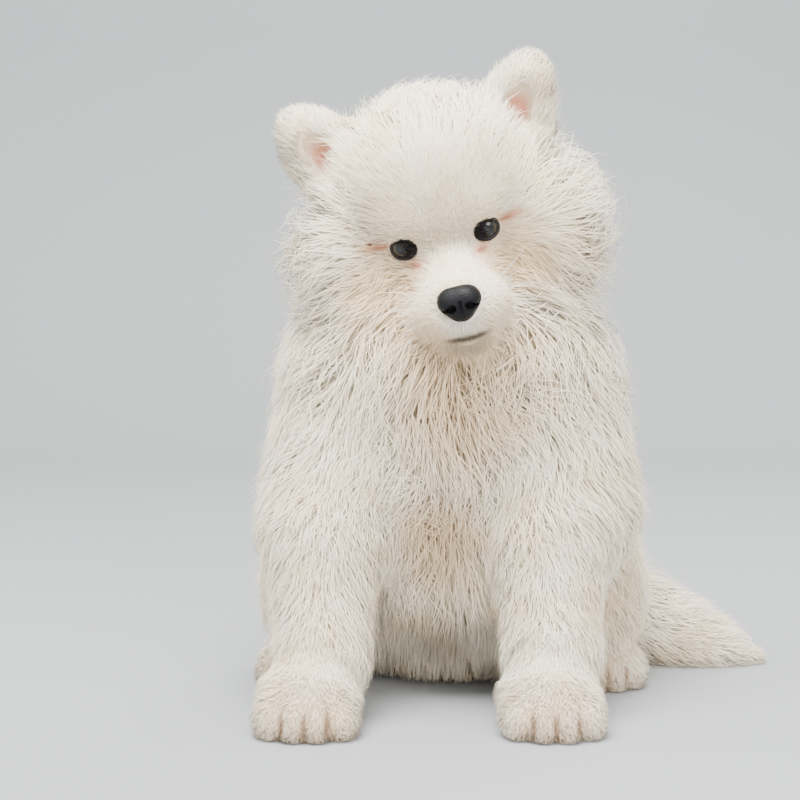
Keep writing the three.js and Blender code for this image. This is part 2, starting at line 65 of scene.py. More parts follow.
from mathutils import Matrix, Vector, kdtree

draw = np.random.default_rng(20240)
METRE = 0.001
ORIGIN_SHIFT = np.array([-62.0, -8.0, 0.0])
print("nodes:", sorted(frame["nodes"]))

# %% [markdown]
# ## Camera
# The photograph was taken from a little over one metre, at the height of the puppy's chest and
# looking slightly down. The lens is long enough that the paws aren't enlarged.

# %% Camera
camera_data = bpy.data.cameras.new("camera")
camera_data.lens = 78
camera_data.sensor_width = 36
camera = bpy.data.objects.new("camera", camera_data)
camera.location = (-0.082, -1.183, 0.300)
camera.rotation_euler = (radians(85.26), 0, 0)
bpy.context.scene.collection.objects.link(camera)
bpy.context.scene.camera = camera

# %% [markdown]
# ## Balls and limbs
# A furry animal has two outlines: the skin, and the tips of its coat. Each form below has a
# radius for the skin and a depth of coat over it, so one formula gives both, and every level in
# between. Forms that overlap melt into each other, as muscles do under a skin.

# %% Balls, limbs and how they melt
def turn_x(a):
    return np.array([[1, 0, 0], [0, cos(a), -sin(a)], [0, sin(a), cos(a)]])


def turn_y(a):
    return np.array([[cos(a), 0, sin(a)], [0, 1, 0], [-sin(a), 0, cos(a)]])


def turn_z(a):
    return np.array([[cos(a), -sin(a), 0], [sin(a), cos(a), 0], [0, 0, 1]])


def unit(v):
    return v / np.maximum(np.linalg.norm(v, axis=-1, keepdims=True), 1e-9)


def smoothstep(x, low, high):
    t = np.clip((x - low) / (high - low), 0, 1)
    return t * t * (3 - 2 * t)


def ball(centre, radii, coat):
    centre, radii = np.array(centre, float), np.array(radii, float)

    def distance(p, grow):
        r = radii + (grow * coat)[:, None]
        q = p - centre
        k0 = np.linalg.norm(q / r, axis=1)
        k1 = np.linalg.norm(q / r**2, axis=1)
        return k0 * (k0 - 1) / np.maximum(k1, 1e-6)

    reach = radii.max() + coat
    return distance, centre - reach, centre + reach


def limb(a, ra, b, rb, coat_a, coat_b=None):
    a, b = np.array(a, float), np.array(b, float)
    coat_b = coat_a if coat_b is None else coat_b
    along = b - a

    def distance(p, grow):
        h = np.clip((p - a) @ along / (along @ along), 0, 1)
        gap = np.linalg.norm(p - a - h[:, None] * along, axis=1)
        return gap - (ra + (rb - ra) * h) - grow * (coat_a + (coat_b - coat_a) * h)

    reach = max(ra + coat_a, rb + coat_b)
    return distance, np.minimum(a, b) - reach, np.maximum(a, b) + reach


def melt(d, e, blend):
    h = np.maximum(blend - np.abs(d - e), 0) / blend
    return np.minimum(d, e) - h * h * blend / 4


# %% A body part
MARGIN = 34  # how far round a part its own field is worked out


def steady(*heading, splay=0.0):
    """A lie with one heading all over a part, or one that splays to both sides."""
    return lambda q: np.array(heading, float) + splay * q * [1, 0, 0]


class Part:
    def __init__(self, shapes, blend, lie, origin=(0, 0, 0), basis=np.eye(3), depth=None):
        self.shapes = [shape[0] for shape in shapes]
        self.blend = blend
        self.lie = lie
        self.origin = np.array(origin, float)
        self.basis = basis
        self.depth = depth
        low = np.min([shape[1] for shape in shapes], axis=0)
        high = np.max([shape[2] for shape in shapes], axis=0)
        corners = np.array([[x, y, z] for x in (0, 1) for y in (0, 1) for z in (0, 1)])
        corners = self.to_world(low + corners * (high - low))
        self.low = corners.min(0) - MARGIN
        self.high = corners.max(0) + MARGIN
        self.middle = self.to_world((low + high) / 2)

    def to_local(self, p):
        return (p - self.origin) @ self.basis

    def to_world(self, p):
        return p @ self.basis.T + self.origin

    def near(self, p):
        return np.all((p > self.low) & (p < self.high), axis=1)

    def field(self, p, share):
        q = self.to_local(p)
        grow = share * (1.0 if self.depth is None else self.depth(q))
        d = np.full(len(q), 1e3)
        for shape in self.shapes:
            d = melt(d, shape(q, grow), self.blend)
        return d


parts = {}

# %% [markdown]
# ## The trunk
# The chest is deep and narrow under a thick bib, and the rump sits on the floor behind the
# forelegs. A puppy's coat hangs straight down here.

# %% Trunk
BODY_X = 14
parts["trunk"] = Part(
    [
        ball([BODY_X, -6, 180], [60, 46, 72], 34),
        limb([BODY_X, 6, 190], 54, [BODY_X + 2, 62, 94], 58, 28),
        ball([BODY_X + 2, 14, 105], [56, 48, 62], 26),
        ball([17, 70, 58], [68, 50, 52], 26),
        limb([72, 4, 204], 38, [90, -12, 130], 32, 27),
        limb([-44, 4, 204], 38, [-64, -12, 130], 30, 26),
        ball([BODY_X + 1, 6, 232], [74, 48, 52], 44),
        limb([BODY_X, 8, 240], 54, [8, 12, 282], 46, 34, 24),
    ],
    24,
    lambda q: steady(0, -0.1, -1, splay=0.35 / 60)(q - [BODY_X, 0, 0]),
)

# %% [markdown]
# ## The head
# The head has its own frame, tipped to one side and nose down, so that everything on it can be
# placed as on a head held straight. The coat is short round the eyes and on the muzzle and grows
# longer towards the crown, the cheeks and the ruff.

# %% Head
HEAD_AT = np.array([3.0, -23.0, 341.0])
HEAD_TURN = turn_z(radians(-2)) @ turn_y(radians(-13.5)) @ turn_x(radians(16))


def head_depth(q):
    ring = np.hypot(q[:, 0], q[:, 2] + 40) + 0.5 * (q[:, 1] + 50)
    return 0.12 + 0.88 * smoothstep(ring, 36, 105)


def head_lie(q):
    """Away from the nose: up the forehead, out over the cheeks, and down behind them."""
    fall = 45 * smoothstep(np.abs(q[:, 0]), 22, 66) + 25 * smoothstep(q[:, 1], -40, 30)
    behind = smoothstep(q[:, 1], 2, 45)
    fall += 130 * behind
    return np.stack(
        [1.5 * q[:, 0] * (1 - behind), 0.6 * (q[:, 1] + 110), 1.6 * (q[:, 2] + 48) - fall], 1
    )


parts["head"] = Part(
    [
        ball([0, 2, 0], [52, 54, 50], 26),
        ball([0, -26, 2], [42, 30, 34], 16),
        ball([45, 4, -38], [34, 40, 38], 42),
        ball([-45, 4, -38], [34, 40, 38], 42),
        ball([19, -40, -3], [17, 14, 12], 10),
        ball([-19, -40, -3], [17, 14, 12], 10),
        limb([0, -40, -46], 27, [0, -80, -53], 20, 3),
        ball([13, -78, -58], [16, 18, 13], 3),
        ball([-13, -78, -58], [16, 18, 13], 3),
        limb([0, -42, -62], 19, [0, -80, -70], 10, 4, 2),
    ],
    12,
    head_lie,
    HEAD_AT,
    HEAD_TURN,
    head_depth,
)

# %% [markdown]
# ## Legs and paws
# Each foreleg comes out of the shoulder's coat and stands on a round paw with four toes. The
# hind legs are folded: only the thigh and the paw show, with the hock behind.

# %% Legs and paws
FOREPAW_Y = -90
HINDPAW_Y = 34
TOES = (-1.5, -0.5, 0.5, 1.5)
toes, toe_gaps = [], []


def down(q):
    return np.stack([0.12 * np.sign(q[:, 0]), 0 * q[:, 0] - 0.05, -1 + 0 * q[:, 0]], 1)


def paw(x, y, turned, half_width, half_length, half_height):
    origin, basis = np.array([x, y, 0.0]), turn_z(radians(turned))
    shapes = [ball([0, 0, half_height + 1], [half_width, half_length, half_height], 5)]
    for place in TOES:
        forward = half_length * (0.78 if abs(place) < 1 else 0.6)
        centre = np.array([place * half_width * 0.52, -forward, 12])
        shapes.append(ball(centre, [8.0, 12.5, 12], 4))
        toes.append((origin, basis, centre))
    # The places between the toes, where a painted shadow goes
    for place in (-1, 0, 1):
        gap = np.array([place * half_width * 0.52, -half_length * 0.98, 11])
        toe_gaps.append((origin, basis, gap))
    return Part(
        shapes,
        3,
        steady(0, -1, -0.5, splay=0.02),
        origin,
        basis,
    )


for name, side, x, paw_x in (("foreleg_left", 1, 78, 75), ("foreleg_right", -1, -71, -78)):
    y = FOREPAW_Y
    parts[name] = Part(
        [
            limb([side * 62 + 8, -14, 160], 30, [x, -40, 112], 26, 20, 17),
            limb([x, -40, 114], 25, [x, y + 16, 40], 18, 17, 15),
            limb([x, y + 16, 40], 18, [paw_x, y + 2, 24], 18, 13, 7),
        ],
        14,
        down,
    )
    parts[name + "_paw"] = paw(paw_x, y, side * 2, 27, 32, 18)

for name, side, thigh_x, paw_x in (
    ("hindleg_left", 1, 104, 118),
    ("hindleg_right", -1, -68, -86),
):
    parts[name] = Part(
        [ball([thigh_x, 50, 66], [36, 56, 54], 20)],
        14,
        steady(0, 0.25, -1),
    )
    parts[name + "_paw"] = paw(paw_x, HINDPAW_Y, side * 8, 25, 30, 17)
    parts[name + "_hock"] = Part(
        [limb([paw_x - side * 4, 94, 19], 14, [paw_x, 44, 17], 14, 8)],
        8,
        steady(0, -1, -0.4),
    )

# %% [markdown]
# ## Tail and ears
# The tail lies on the floor at the puppy's left side as a long plume that ends in a point. Each
# ear is a small rounded triangle, set in a frame of its own that runs from its root to its tip.

# %% Tail and ears
parts["tail"] = Part(
    [
        limb([46, 112, 46], 18, [100, 112, 44], 16, 27, 29),
        limb([100, 112, 44], 16, [150, 102, 34], 12, 29, 26),
        limb([150, 102, 33], 12, [190, 94, 20], 9, 26, 18),
        limb([190, 94, 20], 9, [218, 90, 11], 6, 18, 10),
        limb([218, 90, 11], 6, [242, 88, 5], 1, 10, 4),
    ],
    10,
    steady(1, -0.1, -0.3),
)

ears = {}
for name, side in (("ear_left", 1), ("ear_right", -1)):
    root = np.array([side * 53.0, 4, 24])
    tip = np.array([side * 82.0, -2, 72])
    up = unit(tip - root)
    across = unit(np.cross([-side * 0.15, -1, 0], up))
    basis = HEAD_TURN @ np.stack([across, np.cross(up, across), up], 1)
    ears[name] = (HEAD_TURN @ root + HEAD_AT, basis)
    parts[name] = Part(
        [
            ball([0, 0, 10], [25, 13, 20], 5),
            ball([0, 0, 26], [17.5, 10, 20], 5),
            ball([0, 0, 43], [9, 7, 11], 4),
        ],
        10,
        steady(0, 0, 1, splay=0.01),
        *ears[name],
    )
print("parts of the body:", len(parts))

# %% [markdown]
# ## One field for the whole puppy
# The parts melt into each other too, so that the skin has no seam. `level` answers how far a
# point is from the coat's level that `share` names: 0 is the skin itself and 1 the tips.

# %% The whole field
JOIN = 16  # how softly one part runs into the next


def level(p, share):
    share = np.broadcast_to(np.asarray(share, float), len(p))
    d = np.full(len(p), 60.0)
    for part in parts.values():
        near = part.near(p)
        if near.any():
            d[near] = melt(d[near], part.field(p[near], share[near]), JOIN)
    return d


CORNERS = np.array([[1, -1, -1], [-1, -1, 1], [-1, 1, -1], [1, 1, 1]], float)


def outward(p, share, step=0.8):
    return unit(sum(k * level(p + step * k, share)[:, None] for k in CORNERS))


def lie_at(p):
    total = np.zeros_like(p)
    for part in parts.values():
        near = part.near(p)
        if near.any():
            q = part.to_local(p[near])
            weight = np.exp(-np.clip(part.field(p[near], np.full(near.sum(), 0.6)), -30, 80) / 9)
            total[near] += weight[:, None] * (unit(part.lie(q)) @ part.basis.T)
    return unit(total)


# %% [markdown]
# ## Eyes, lids, mouth and ear cups
# These are cut into the skin or laid on it: an opening for each eye with a rim of lid round it,
# the line of the mouth with the lower lip under it, the groove under the nose, and the hollow in
# front of each ear.

# %% Carving the face
EYE_SPREAD = 27
EYE_RADIUS = 9
EYE_Y, EYE_Z = -41, -18
MOUTH_HALF = 26
MOUTH_Z = -70
NOSE_Y, NOSE_Z = -100, -46
FLOOR_CLEARANCE = 0.4


def mouth_point(x):
    share = np.abs(x) / MOUTH_HALF
    return np.stack([x, -97 + 27 * share**1.7, MOUTH_Z + 3 * share**2], -1)


def along_line(q, points, radius):
    """How far points are from a bent tube."""
    d = np.full(len(q), 1e3)
    for a, b in zip(points[:-1], points[1:]):
        along = b - a
        h = np.clip((q - a) @ along / (along @ along), 0, 1)
        d = np.minimum(d, np.linalg.norm(q - a - h[:, None] * along, axis=1))
    return d - radius


MOUTH = mouth_point(np.linspace(-MOUTH_HALF, MOUTH_HALF, 13))
LOWER_LIP = MOUTH * [0.94, 1, 1] + [0, 1.5, -3.4]
PHILTRUM = np.array([[0, -104, -56], [0, -99, -62], [0, -98, MOUTH_Z]], float)
CREASE = np.array([[18, -58, -26.5], [24, -55, -30], [33, -50, -29.5]])


def lid_distance(q, side):
    """How far points are from the rim of an eye, a tilted almond."""
    c = q - [side * (EYE_SPREAD + 0.8), -46.5, EYE_Z]
    c = c @ turn_z(radians(side * 14))
    x, z = c[:, 0] / 1.06, (c[:, 2] - 0.1 * side * c[:, 0]) / 0.97
    ring = np.hypot(x, z) - 7.3
    return np.hypot(ring, c[:, 1]) - 1.8


def egg(q, centre, radii):
    radii = np.array(radii, float)
    q = q - np.array(centre, float)
    k0 = np.linalg.norm(q / radii, axis=1)
    return k0 * (k0 - 1) / np.maximum(np.linalg.norm(q / radii**2, axis=1), 1e-6)


def carved(p, share):
    d = level(p, share)
    head = parts["head"]
    face = np.linalg.norm(p - head.to_world(np.array([0, -70, -40])), axis=1) < 60
    if face.any():
        q = head.to_local(p[face])
        f = d[face]
        for side in (1, -1):
            f = np.maximum(f, -egg(q, [side * EYE_SPREAD, -53, EYE_Z], [6.8, 10, 6.3]))
            f = melt(f, lid_distance(q, side), 2)
            f = -melt(-f, along_line(q, CREASE * [side, 1, 1], 0.8), 1.5)
        f = melt(f, along_line(q, LOWER_LIP, 2.4), 3)
        f = -melt(-f, along_line(q, MOUTH[3:-3], 0.8), 1.5)
        f = -melt(-f, along_line(q, PHILTRUM, 0.9), 1.5)
        f = np.maximum(f, -egg(q, [0, NOSE_Y + 1, NOSE_Z], [12, 9, 10]))
        d[face] = f
    for name in ears:
        ear = parts[name]
        near = ear.near(p)
        if near.any():
            q = ear.to_local(p[near])
            d[near] = -melt(-d[near], egg(q, [0, 14, 20], [13, 12.5, 23]), 2.5)
    return np.maximum(d, FLOOR_CLEARANCE - p[:, 2])


# %% [markdown]
# ## From field to mesh
# A grid of voxels holds the field, and OpenVDB draws the surface through it. The grid is worked
# out coarsely first, and finely only near the surface. Each corner is then moved onto the exact
# field, which takes away the steps of the grid.

# %% From field to mesh
def surface(field, low, high, voxel, adaptivity=0.0, coarse=4):
    low = np.array(low, float)
    count = (np.ceil((np.array(high) - low) / (voxel * coarse)).astype(int)) + 1
    rough = np.stack(np.meshgrid(*[np.arange(n) for n in count], indexing="ij"), -1)
    values = field(low + rough.reshape(-1, 3) * voxel * coarse).reshape(count)
    near = np.abs(values) < 2.2 * voxel * coarse
    fine = np.repeat(np.repeat(np.repeat(values, coarse, 0), coarse, 1), coarse, 2)
    wanted = np.repeat(np.repeat(np.repeat(near, coarse, 0), coarse, 1), coarse, 2)
    cells = np.argwhere(wanted)
    fine[wanted] = field(low + cells * voxel)
    grid = openvdb.FloatGrid(float(4 * voxel))
    grid.copyFromArray(np.clip(fine, -4 * voxel, 4 * voxel).astype(np.float32))
    points, triangles, quads = grid.convertToPolygons(isovalue=0.0, adaptivity=adaptivity)
    points = low + points * voxel
    for _ in range(2):
        slope = sum(k * field(points + 0.4 * k)[:, None] for k in CORNERS)
        step = np.clip(field(points), -voxel, voxel)
        points = points - unit(slope) * step[:, None]
    faces = [quads[:, ::-1], triangles[:, ::-1]]
    return points, faces


def to_row(p):
    return (p + ORIGIN_SHIFT) * METRE


def mesh_object(name, points, faces, smooth=True):
    """An object from points in millimetres and a list of arrays of faces."""
    mesh = bpy.data.meshes.new(name)
    mesh.vertices.add(len(points))
    mesh.vertices.foreach_set("co", to_row(points).astype(np.float32).ravel())
    corners = np.concatenate([f.ravel() for f in faces]).astype(np.int32)
    sizes = np.concatenate([np.full(len(f), f.shape[1]) for f in faces if len(f)])
    mesh.loops.add(len(corners))
    mesh.loops.foreach_set("vertex_index", corners)
    mesh.polygons.add(len(sizes))
    starts = np.concatenate([[0], np.cumsum(sizes)[:-1]]).astype(np.int32)
    mesh.polygons.foreach_set("loop_start", starts)
    mesh.polygons.foreach_set("use_smooth", np.full(len(sizes), smooth))
    mesh.update(calc_edges=True)
    obj = bpy.data.objects.new(name, mesh)
    bpy.context.scene.collection.objects.link(obj)
    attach(obj, "root")
    return obj


# %% The skin
SKIN_SHARE = 0.3  # the skin's level under the coat
SKIN_VOXEL = 1.6
PUPPY_LOW, PUPPY_HIGH = [-130, -140, -6], [255, 156, 440]
skin_points, skin_faces = surface(
    lambda p: carved(p, SKIN_SHARE), PUPPY_LOW, PUPPY_HIGH, SKIN_VOXEL, adaptivity=0.01
)
skin = mesh_object("skin", skin_points, skin_faces)
print("skin:", len(skin_points), "points", [len(f) for f in skin_faces])

# %% [markdown]
# ## Shared colours
# Skin and coat carry the same markings and the same painted shade, so one node group paints
# both. It knows a place on the puppy in three ways: on the body, on the head held straight, and
# on each ear. A marking, or a patch of painted shade, is a soft oval at such a place. Only colours
# and masks leave the group.

# %% Node helpers
def new_group(name, inputs, outputs):
    group = bpy.data.node_groups.new(name, "ShaderNodeTree")
    for label, kind, value in inputs:
        socket = group.interface.new_socket(label, in_out="INPUT", socket_type=kind)
        if value is not None:
            socket.default_value = value
    for label, kind in outputs:
        group.interface.new_socket(label, in_out="OUTPUT", socket_type=kind)
    return group, group.nodes.new("NodeGroupInput"), group.nodes.new("NodeGroupOutput")


def node(tree, kind, inputs=(), **settings):
    made = tree.nodes.new(kind)
    for key, value in settings.items():
        setattr(made, key, value)
    for key, value in dict(inputs).items():
        if isinstance(value, bpy.types.NodeSocket):
            tree.links.new(value, made.inputs[key])
        else:
            made.inputs[key].default_value = value
    return made


def calculate(tree, operation, *values):
    made = node(tree, "ShaderNodeMath", enumerate(values), operation=operation)
    return made.outputs[0]


def vector(tree, operation, *values):
    made = node(tree, "ShaderNodeVectorMath", enumerate(values), operation=operation)
    return made.outputs["Value" if operation in ("LENGTH", "DOT_PRODUCT") else "Vector"]


def ramp(tree, value, low, high):
    """0 at low and below, 1 at high and above, smooth between."""
    sockets = {"Value": value, "From Min": low, "From Max": high}
    return node(
        tree, "ShaderNodeMapRange", sockets, interpolation_type="SMOOTHSTEP"
    ).outputs[0]


def mixed(tree, factor, first, second):
    made = node(tree, "ShaderNodeMix", data_type="RGBA")
    for index, value in ((0, factor), (6, first), (7, second)):
        if isinstance(value, bpy.types.NodeSocket):
            tree.links.new(value, made.inputs[index])
        else:
            made.inputs[index].default_value = value if index == 0 else (*value, 1)
    return made.outputs[2]


# %% A soft oval
oval, oval_in, oval_out = new_group(
    "soft_oval",
    [
        ("Place", "NodeSocketVector", None),
        ("Centre", "NodeSocketVector", (0, 0, 0)),
        ("Radii", "NodeSocketVector", (1, 1, 1)),
        ("Full", "NodeSocketFloat", 0.3),
    ],
    [("Mask", "NodeSocketFloat")],
)
away = vector(oval, "SUBTRACT", oval_in.outputs["Place"], oval_in.outputs["Centre"])
away = vector(oval, "LENGTH", vector(oval, "DIVIDE", away, oval_in.outputs["Radii"]))
oval.links.new(ramp(oval, away, 1.0, oval_in.outputs["Full"]), oval_out.inputs["Mask"])

# %% The markings and painted shade
WHITE = (0.96, 0.87, 0.70)
WARM = (0.93, 0.77, 0.54)
CREAM = (0.90, 0.62, 0.33)
BEIGE_AND_PAINTED_SHADE = (0.58, 0.40, 0.22)
APRICOT = (0.88, 0.58, 0.34)
MUZZLE = (0.95, 0.91, 0.86)
SHADE = (0.22, 0.18, 0.13)
ORANGE = (0.70, 0.33, 0.17)
PINK = (0.86, 0.30, 0.22)
PAINTED_TOE_SHADOW = (0.34, 0.19, 0.11)
RED = (0.48, 0.13, 0.08)
RIM = (0.012, 0.009, 0.009)

marks, marks_in, marks_out = new_group(
    "puppy_markings_and_painted_shade",
    [("Place", "NodeSocketVector", None), ("Along", "NodeSocketFloat", 0.5)],
    [("Color", "NodeSocketColor"), ("Bare", "NodeSocketFloat")],
)


def local_place(origin, basis):
    """The place in a frame of the puppy's, in millimetres, from one in metres."""
    turned = Matrix(np.array(basis).tolist()).to_euler()
    sockets = {
        "Vector": marks_in.outputs["Place"],
        "Location": to_row(np.array(origin)),
        "Rotation": turned,
        "Scale": (METRE, METRE, METRE),
    }
    return node(marks, "ShaderNodeMapping", sockets, vector_type="TEXTURE").outputs[0]


on_body = local_place([0, 0, 0], np.eye(3))
on_head = local_place(HEAD_AT, HEAD_TURN)
on_ear = {name: local_place(*ears[name]) for name in ears}
colour = WHITE
strand = node(marks, "ShaderNodeTexNoise", {"Vector": on_body, "Scale": 0.035, "Detail": 3})
colour = mixed(marks, ramp(marks, strand.outputs["Fac"], 0.38, 0.75), WHITE, WARM)


def mark(colour, place, centre, radii, tint, strength, full=0.1):
    spot = node(marks, "ShaderNodeGroup", node_tree=oval)
    marks.links.new(place, spot.inputs["Place"])
    spot.inputs["Centre"].default_value = centre
    spot.inputs["Radii"].default_value = radii
    spot.inputs["Full"].default_value = full
    mask = calculate(marks, "MULTIPLY", spot.outputs["Mask"], strength)
    return mixed(marks, mask, colour, tint)


for tint, strength, centre, radii in (
    # painted shade on the chest under the head, over its real cream tone
    (BEIGE_AND_PAINTED_SHADE, 0.8, (16, -75, 205), (66, 60, 74)),
    # painted shade between the forelegs
    (BEIGE_AND_PAINTED_SHADE, 0.8, (8, -60, 112), (48, 70, 66)),
    # painted shadow under the belly, between the legs
    (SHADE, 0.8, (8, -30, 36), (46, 60, 50)),
    (CREAM, 0.6, (10, -70, 250), (85, 70, 48)),
    (CREAM, 0.45, (118, 10, 70), (45, 70, 60)),
    (CREAM, 0.4, (110, 100, 60), (60, 50, 40)),
    (APRICOT, 0.6, (75, -112, 8), (42, 42, 40)),
    (APRICOT, 0.6, (-78, -112, 8), (42, 42, 40)),
    (APRICOT, 0.5, (118, 12, 8), (38, 40, 34)),
    (APRICOT, 0.4, (-86, 12, 8), (38, 40, 34)),
):
    colour = mark(colour, on_body, centre, radii, tint, strength)

for side in (1, -1):
    for tint, strength, centre, radii in (
        (CREAM, 0.7, (46, -34, -46), (46, 60, 38)),
        (CREAM, 0.5, (24, -58, -36), (20, 22, 20)),
        (PINK, 0.6, (22, -54, -28), (13, 16, 5.5)),
        (RED, 1.0, (23, -55, -29), (9, 10, 2.2)),
        (ORANGE, 0.8, (45, -42, -14), (17, 18, 5.5)),
        (RED, 0.8, (41, -44, -15), (10, 16, 2.2)),
    ):
        place = (side * centre[0], centre[1], centre[2])
        colour = mark(colour, on_head, place, radii, tint, strength)
colour = mark(colour, on_head, (0, -44, 2), (30, 30, 34), CREAM, 0.35)
colour = mark(colour, on_head, (0, -92, -54), (25, 30, 20), MUZZLE, 0.9)
# dark skin between the hairs round the mouth, and painted shade under the chin
colour = mark(colour, on_head, (0, -95, -75), (23, 24, 13), SHADE, 0.6, full=0.3)
for name in ears:
    colour = mark(colour, on_ear[name], (0, 5, 20), (15, 15, 28), APRICOT, 0.5)
    colour = mark(colour, on_ear[name], (0, 5, 16), (12, 14, 21), PINK, 0.95, full=0.5)
# painted shadow in the gaps between the toes
for origin, basis, gap in toe_gaps:
    centre = tuple(basis @ (gap + [0, -7, 0]) + origin)
    colour = mark(colour, on_body, centre, (3, 12, 14), PAINTED_TOE_SHADOW, 0.9)

# %% Painted shade at the roots; eye rims and lips
# Painted shade deep in the coat: tuft roots, and the skin under them, are mixed towards beige.
colour = mixed(
    marks,
    calculate(marks, "MULTIPLY", ramp(marks, marks_in.outputs["Along"], 0.85, 0.0), 0.3),
    colour,
    BEIGE_AND_PAINTED_SHADE,
)
split_head = node(marks, "ShaderNodeSeparateXYZ", {"Vector": on_head}).outputs
wide = calculate(marks, "ABSOLUTE", split_head["X"])
eye_x = calculate(marks, "DIVIDE", calculate(marks, "SUBTRACT", wide, EYE_SPREAD + 0.3), 7.4)
eye_z = calculate(marks, "DIVIDE", calculate(marks, "SUBTRACT", split_head["Z"], EYE_Z), 6.9)
eye_x, eye_z = (calculate(marks, "POWER", value, 2) for value in (eye_x, eye_z))
round_eye = calculate(marks, "SQRT", calculate(marks, "ADD", eye_x, eye_z))
rim = ramp(marks, round_eye, 1.3, 1.14)
rim = calculate(marks, "MULTIPLY", rim, ramp(marks, split_head["Y"], -34, -40))
droop = calculate(marks, "MULTIPLY", calculate(marks, "POWER", wide, 2), 3 / MOUTH_HALF**2)
lip_z = calculate(marks, "SUBTRACT", split_head["Z"], calculate(marks, "ADD", droop, MOUTH_Z))
lip = ramp(marks, calculate(marks, "ABSOLUTE", lip_z), 3.4, 0.2)
lip = calculate(marks, "MULTIPLY", lip, ramp(marks, wide, 19, 8))
lip = calculate(marks, "MULTIPLY", lip, ramp(marks, split_head["Y"], -70, -76))
bare = calculate(marks, "MAXIMUM", rim, calculate(marks, "MULTIPLY", lip, 0.82))
marks.links.new(mixed(marks, bare, colour, RIM), marks_out.inputs["Color"])
marks.links.new(bare, marks_out.inputs["Bare"])


# %% [markdown]
# ## Skin and coat materials
# Hair is pale and a little glossy along its length. The skin shows only between the tufts and in
# bare places, where a fine bump keeps it from looking like plastic.

# %% Skin and coat materials
def new_material(name, roughness=0.5, **constants):
    material = bpy.data.materials.new(name)
    material.use_nodes = True
    shader = material.node_tree.nodes["Principled BSDF"]
    shader.inputs["Roughness"].default_value = roughness
    for label, value in constants.items():
        shader.inputs[label.replace("_", " ")].default_value = value
    return material, material.node_tree, shader


def paint(material, tree, shader, along):
    place = node(tree, "ShaderNodeTexCoord").outputs["Object"]
    group = node(tree, "ShaderNodeGroup", {}, node_tree=marks)
    tree.links.new(place, group.inputs["Place"])
    if isinstance(along, str):
        along = node(tree, "ShaderNodeAttribute", attribute_name=along).outputs["Fac"]
        tree.links.new(along, group.inputs["Along"])
    else:
        group.inputs["Along"].default_value = along
    tree.links.new(group.outputs["Color"], shader.inputs["Base Color"])
    return place, group


coat_material, coat_tree, coat_shader = new_material("coat", 0.75, Specular_IOR_Level=0.25)
paint(coat_material, coat_tree, coat_shader, "along")

skin_material, skin_tree, skin_shader = new_material("skin", 0.6, Specular_IOR_Level=0.3)
# The skin gets part of the painted shade of the tuft roots.
skin_place, skin_paint = paint(skin_material, skin_tree, skin_shader, 0.35)
grain = node(skin_tree, "ShaderNodeTexNoise", {"Vector": skin_place, "Scale": 1800, "Detail": 2})
bump = node(
    skin_tree,
    "ShaderNodeBump",
    {"Height": grain.outputs["Fac"], "Strength": 0.35, "Distance": 0.0006},
)
skin_tree.links.new(bump.outputs["Normal"], skin_shader.inputs["Normal"])
wet = ramp(skin_tree, skin_paint.outputs["Bare"], 0.0, 1.0)
skin_tree.links.new(
    calculate(skin_tree, "SUBTRACT", 0.62, calculate(skin_tree, "MULTIPLY", wet, 0.25)),
    skin_shader.inputs["Roughness"],
)
skin.data.materials.append(skin_material)
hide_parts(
    "head", "neck", "torso", "foreleg_left", "foreleg_right",
    "hindleg_left", "hindleg_right", "tail", "ear_left", "ear_right",
)

# %% [markdown]
# ## Where the tufts grow
# A tuft is a thin, closed blade with three sides that tapers to a point and bends along the lie
# of the coat. Roots are drawn over the whole skin, closer together where the coat is short, so
# that every place is covered by the same number of layers. Eyes, nose, ear cups and soles stay
# bare, and only a few tufts grow along the mouth.

# %% Roots
TUFTS = 117000
SHORT = 24  # a tuft shorter than this has one ring fewer
LEAST_ROOM, MOST_ROOM = 0.5, 45  # how much coat over a root counts
SHORTEST, LENGTH_PER_ROOM = 5.2, 1.5
THINNEST, WIDTH_PER_LENGTH = 0.33, 0.0118

split = [skin_faces[1]] if len(skin_faces[1]) else []
split += [skin_faces[0][:, [0, 1, 2]], skin_faces[0][:, [0, 2, 3]]]
triangles = np.concatenate(split)


def on_paws(p):
    """For each paw, how much a place belongs to it."""
    for name, part in parts.items():
        if name.endswith("_paw"):
            away = np.linalg.norm((p - part.middle) / [1, 1, 1.2], axis=1)
            yield smoothstep(away, 44, 34)


def tuft_size(p, room):
    length = SHORTEST + LENGTH_PER_ROOM * room
    for near in on_paws(p):
        length = length * (1 - 0.35 * near)
    for name in ears:
        q = parts[name].to_local(p)
        before = np.linalg.norm((q - [0, 14, -2]) / [24, 22, 20], axis=1)
        length = length * (1 - 0.6 * smoothstep(before, 1.2, 0.7))
    return length, THINNEST + WIDTH_PER_LENGTH * length


def bareness(p):
    """How many tufts a place keeps: 1 is the usual number."""
    q = parts["head"].to_local(p)
    keep = np.ones(len(p))
    for side in (1, -1):
        eye = q - [side * (EYE_SPREAD + 0.5), -44, EYE_Z]
        keep *= smoothstep(np.linalg.norm(eye / [8.5, 12, 7.2], axis=1), 0.95, 1.05)
        keep *= 0.3 + 0.7 * smoothstep(along_line(q, CREASE * [side, 1, 1], 0.0), 0.8, 2.0)
    keep *= smoothstep(egg(q, [0, NOSE_Y, NOSE_Z], [13, 9, 10.5]), 0.0, 0.8)
    keep *= 0.25 + 0.75 * smoothstep(along_line(q, MOUTH[4:-4], 0.0), 0.5, 1.4)
    keep *= 1 + 1.6 * smoothstep(np.linalg.norm(q - [0, -98, -54], axis=1), 44, 16)
    for name in ears:
        cup = egg(parts[name].to_local(p), [0, 10, 18], [12, 13, 19])
        keep *= smoothstep(cup, -1.5, 1.5)
    return keep * smoothstep(p[:, 2], 0.5, 2.0)


